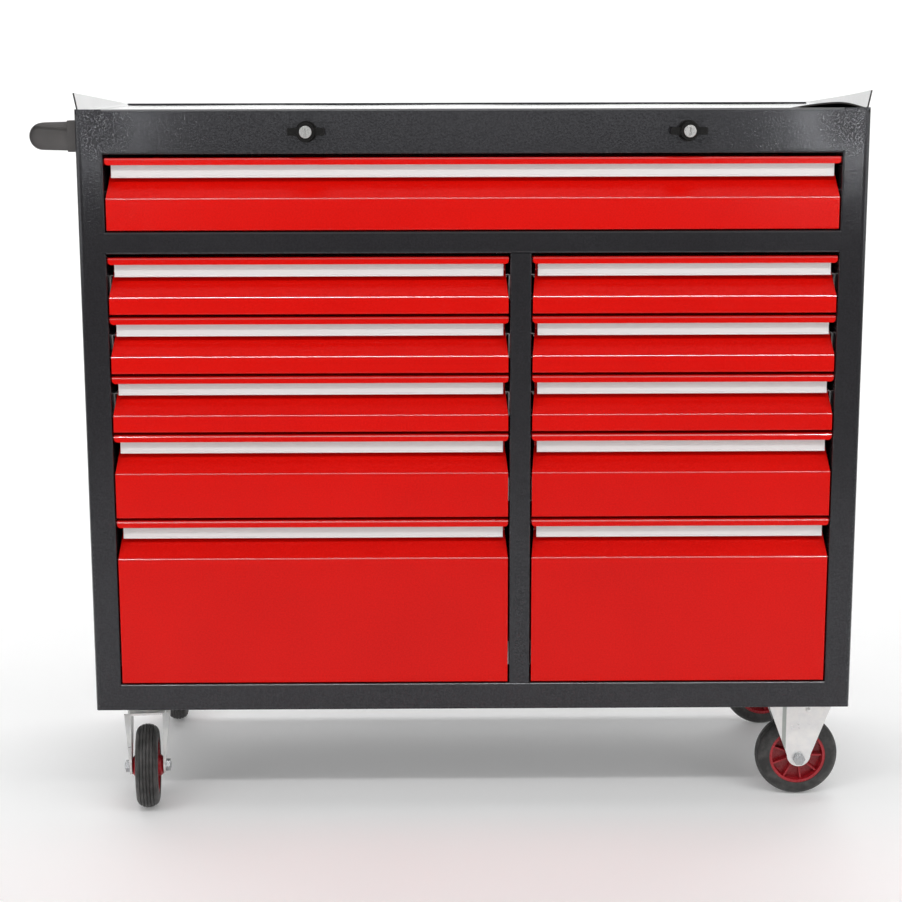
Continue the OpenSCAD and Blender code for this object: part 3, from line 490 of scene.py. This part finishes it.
def fillSeams(shape):
    bm = bmesh.new()
    for edge, way in ((leftHigh.x, -1), (rightLow.x, 1)):
        for name, topFold in (("top_tray", shape["trayFold"]), ("middle_rail", shape["fold"]),
                              ("base_panel", shape["fold"])):
            low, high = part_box(name)
            face = bodyFront + shape["under"]
            # section of the seam: up the front, round the upper fold and back down inside
            section = [(face, low.z + shape["fold"])]
            for step in range(shape["arcSteps"] + 1):
                turn = step / shape["arcSteps"] * math.pi / 2
                section.append((face + topFold * (1 - math.cos(turn)),
                                high.z - topFold * (1 - math.sin(turn))))
            section.append((face + topFold, low.z + shape["fold"]))
            ends = [[bm.verts.new((x, y, z)) for y, z in section] for x in (edge, edge + way * shape["fold"])]
            for first, second in zip(range(len(section)), list(range(1, len(section))) + [0]):
                bm.faces.new((ends[0][first], ends[0][second], ends[1][second], ends[1][first]))
            for end in ends:
                bm.faces.new(end)
    bmesh.ops.recalc_face_normals(bm, faces=bm.faces)
    mesh = bpy.data.meshes.new("weldSeams")
    bm.to_mesh(mesh)
    bm.free()
    mesh.shade_flat()
    mesh.materials.append(finishes["frame"])
    obj = bpy.data.objects.new("weldSeams", mesh)
    bpy.context.scene.collection.objects.link(obj)
    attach(obj, "cabinet")
    print("seams filled")


fillSeams(seam)


# the loose mat lies in the tray, its ends turned up against the side lips
matShape = dict(thick=0.0022, bendRadius=0.006, lean=0.0040, frontRise=0.0266, rearRise=0.0045, riseEnds=1.0,
                lipSheet=0.0012, edgeGap=0.0004, rim=0.006, columns=240, rows=64,
                buckleMiddle=0.492, buckleLeft=0.105, buckleRight=0.056, buckleLift=0.0105, buckleDepth=0.36,
                ripple=0.0003, rippleAcross=21, rippleStart=2, rippleDeep=7)


def buildMat(shape):
    trayLow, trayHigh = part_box("top_tray")
    sideWall = (trayHigh.x - trayLow.x) / 2 - shape["lipSheet"] - shape["edgeGap"]    # inner face of the lips
    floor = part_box("top_mat")[0].z
    front = bodyFront + shape["rim"] + shape["edgeGap"]
    rear = trayHigh.y - shape["rim"] - shape["edgeGap"]
    radius = shape["bendRadius"]
    flatHalf = sideWall - radius
    bend = radius * math.pi / 2

    bm = bmesh.new()
    bmesh.ops.create_grid(bm, x_segments=shape["columns"], y_segments=shape["rows"], size=1.0)
    for vert in bm.verts:
        across = math.sin(vert.co.x * math.pi / 2)          # closer columns towards the ends
        deep = (vert.co.y + 1) / 2
        fade = max(0.0, 1 - deep / shape["riseEnds"])
        rise = shape["rearRise"] + (shape["frontRise"] - shape["rearRise"]) * fade
        half = flatHalf + bend + max(0.0, rise - radius)
        reach = abs(across) * half
        side = 1 if across > 0 else -1
        if reach <= flatHalf:
            x, z = reach, 0.0
        elif reach <= flatHalf + bend:
            turn = (reach - flatHalf) / radius
            x, z = flatHalf + radius * math.sin(turn), radius * (1 - math.cos(turn))
        else:
            z = radius + reach - flatHalf - bend
            x = sideWall + shape["lean"] * (z - radius) / (shape["frontRise"] - radius)
        y = front + (rear - front) * deep
        # the right front corner lifts off the tray and arches over the lip
        off = side * x - shape["buckleMiddle"]
        off /= shape["buckleRight"] if off > 0 else shape["buckleLeft"]
        if abs(off) < 1:
            arch = math.cos(off * math.pi / 2) ** 2
            z += shape["buckleLift"] * arch * max(0.0, 1 - deep / shape["buckleDepth"]) ** 3
        wave = math.sin(x * shape["rippleAcross"] * side + shape["rippleStart"])
        z += shape["ripple"] * (1 + wave * math.cos(deep * shape["rippleDeep"]))
        vert.co = (bodyMiddle + side * x, y, floor + z)
    bmesh.ops.recalc_face_normals(bm, faces=bm.faces)
    if sum(face.normal.z for face in bm.faces) < 0:
        bmesh.ops.reverse_faces(bm, faces=bm.faces)
    flatArea = sum(face.calc_area() for face in bm.faces)
    bmesh.ops.solidify(bm, geom=bm.faces[:], thickness=-shape["thick"])
    bmesh.ops.recalc_face_normals(bm, faces=bm.faces)
    mesh = bpy.data.meshes.new("topMat")
    bm.to_mesh(mesh)
    bm.free()
    mesh.shade_smooth()
    mesh.set_sharp_from_angle(angle=math.radians(40))
    mesh.materials.append(finishes["mat"])
    mesh.materials.append(matCut)
    for face in mesh.polygons:
        face.material_index = 1 if abs(face.normal.y) > 0.9 else 0
    obj = bpy.data.objects.new("topMat", mesh)
    bpy.context.scene.collection.objects.link(obj)
    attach(obj, "cabinet")
    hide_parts("top_mat")


buildMat(matShape)


# floor, light and camera
stage = dict(floorHalf=9.0, wallBehind=3.5, wallHeight=7.0, cove=1.6, tone=(0.92, 0.92, 0.92),
             shade=(0.88, 0.88, 0.88), glow=0.12)


def buildFloor():
    bm = bmesh.new()
    half = stage["floorHalf"]
    wall = bodyFront + stage["wallBehind"]
    outline = ((-half, -half, 0), (half, -half, 0), (half, wall, 0), (-half, wall, 0))
    bm.faces.new([bm.verts.new(corner) for corner in outline])
    back = [e for e in bm.edges if all(abs(v.co.y - wall) < 1e-6 for v in e.verts)]
    grown = bmesh.ops.extrude_edge_only(bm, edges=back)
    raised = [g for g in grown["geom"] if isinstance(g, bmesh.types.BMVert)]
    bmesh.ops.translate(bm, verts=raised, vec=(0, 0, stage["wallHeight"]))
    bmesh.ops.bevel(bm, geom=back, offset=stage["cove"], offset_type="OFFSET", segments=16, profile=0.5,
                    affect="EDGES", material=-1)
    mesh = bpy.data.meshes.new("studioFloor")
    bm.to_mesh(mesh)
    bm.free()
    mesh.shade_smooth()
    mat, tree, shader = newMaterial("paleFloor")
    place = objectPlace(tree)
    clouds = noiseField(tree, place, 3, 3.0, 0.5)
    tone = rampField(tree, clouds, 0.2, 0.8, stage["shade"], stage["tone"])
    tree.links.new(tone, shader.inputs["Base Color"])
    shader.inputs["Roughness"].default_value = 0.7
    shader.inputs["Emission Color"].default_value = (1, 1, 1, 1)
    shader.inputs["Emission Strength"].default_value = stage["glow"]
    mesh.materials.append(mat)
    obj = bpy.data.objects.new("studioFloor", mesh)
    bpy.context.scene.collection.objects.link(obj)


def softBox(name, place, aim, width, height, power):
    lamp = bpy.data.lights.new(name, "AREA")
    lamp.shape = "RECTANGLE"
    lamp.size, lamp.size_y, lamp.energy = width, height, power
    obj = bpy.data.objects.new(name, lamp)
    bpy.context.scene.collection.objects.link(obj)
    obj.location = place
    obj.rotation_euler = (Vector(aim) - Vector(place)).to_track_quat("-Z", "Y").to_euler()
    obj.visible_camera = False


# each lamp's place is (right of the middle, ahead of the front, above the floor)
studio = dict(
    world=0.10,
    side=dict(place=(1.8, 1.55, 1.65), aim=(0, 0, 0.9), size=(1.2, 1.6), power=13),
    wrap=dict(place=(2.1, 0.7, 0.86), aim=(0.5, 0, 0.86), size=(1.7, 0.5), power=4.0),
    sheen=dict(place=(0, 2.4, 0.98), aim=(0, 0, 0.98), size=(2.6, 0.36), power=3.0),
    fold=dict(place=(0, 1.9, 2.35), aim=(0, 0, 0.75), size=(3.4, 0.16), power=30),
    top=dict(place=(0, 0.2, 2.6), aim=(0, 0, 0), size=(2.6, 1.0), power=8),
    back=dict(place=(0, -1.5, 3.6), aim=(0, -3.6, 1.6), size=(5.0, 1.2), power=120),
    leftGlint=dict(place=(-0.84, 2.0, 0.93), aim=(-0.504, 0, 0.97), size=(0.05, 0.05), power=0.55),
    rightGlint=dict(place=(0.93, 2.0, 0.93), aim=(0.558, 0, 0.97), size=(0.05, 0.05), power=1.15),
)


def placeLamp(name, lamp, hand=1):
    place, aim = ((bodyMiddle + hand * right, bodyFront - ahead, above)
                  for right, ahead, above in (lamp["place"], lamp["aim"]))
    softBox(name, place, aim, *lamp["size"], lamp["power"])


def buildLights():
    world = bpy.data.worlds.new("studioWorld")
    bpy.context.scene.world = world
    world.use_nodes = True
    world.node_tree.nodes["Background"].inputs["Color"].default_value = (1, 1, 1, 1)
    world.node_tree.nodes["Background"].inputs["Strength"].default_value = studio["world"]
    for name, hand in (("left", -1), ("right", 1)):
        placeLamp(name + "Box", studio["side"], hand)
        placeLamp(name + "Wrap", studio["wrap"], hand)
    for name in ("leftGlint", "rightGlint", "sheen", "fold", "top", "back"):
        placeLamp(name + "Box", studio[name])


# the view of the photograph: eye measured from the middle of the body's front lower edge
view = dict(eye=(-0.05266, -2.67935, 0.89539), pitch=0.19228, yaw=0.00813, roll=0.00237,
            lens=78.663, sensor=36.0)


def buildCamera():
    pitch, yaw, roll = view["pitch"], view["yaw"], view["roll"]
    ahead = Vector((math.sin(yaw) * math.cos(pitch), math.cos(yaw) * math.cos(pitch), -math.sin(pitch)))
    right = Vector((math.cos(yaw), -math.sin(yaw), 0))
    down = ahead.cross(right)
    across = right * math.cos(roll) + down * math.sin(roll)
    up = -(down * math.cos(roll) - right * math.sin(roll))
    camera = bpy.data.cameras.new("photoCamera")
    camera.lens, camera.sensor_width = view["lens"], view["sensor"]
    camera.clip_end = 60
    obj = bpy.data.objects.new("photoCamera", camera)
    bpy.context.scene.collection.objects.link(obj)
    turn = Matrix((across, up, -ahead)).transposed()
    eye = Vector((bodyMiddle, bodyFront, bodyFoot)) + Vector(view["eye"])
    obj.matrix_world = Matrix.Translation(eye) @ turn.to_4x4()
    bpy.context.scene.camera = obj


buildFloor()
buildLights()
buildCamera()
bpy.context.scene.view_settings.view_transform = "Standard"
print("stage, lights and camera set")
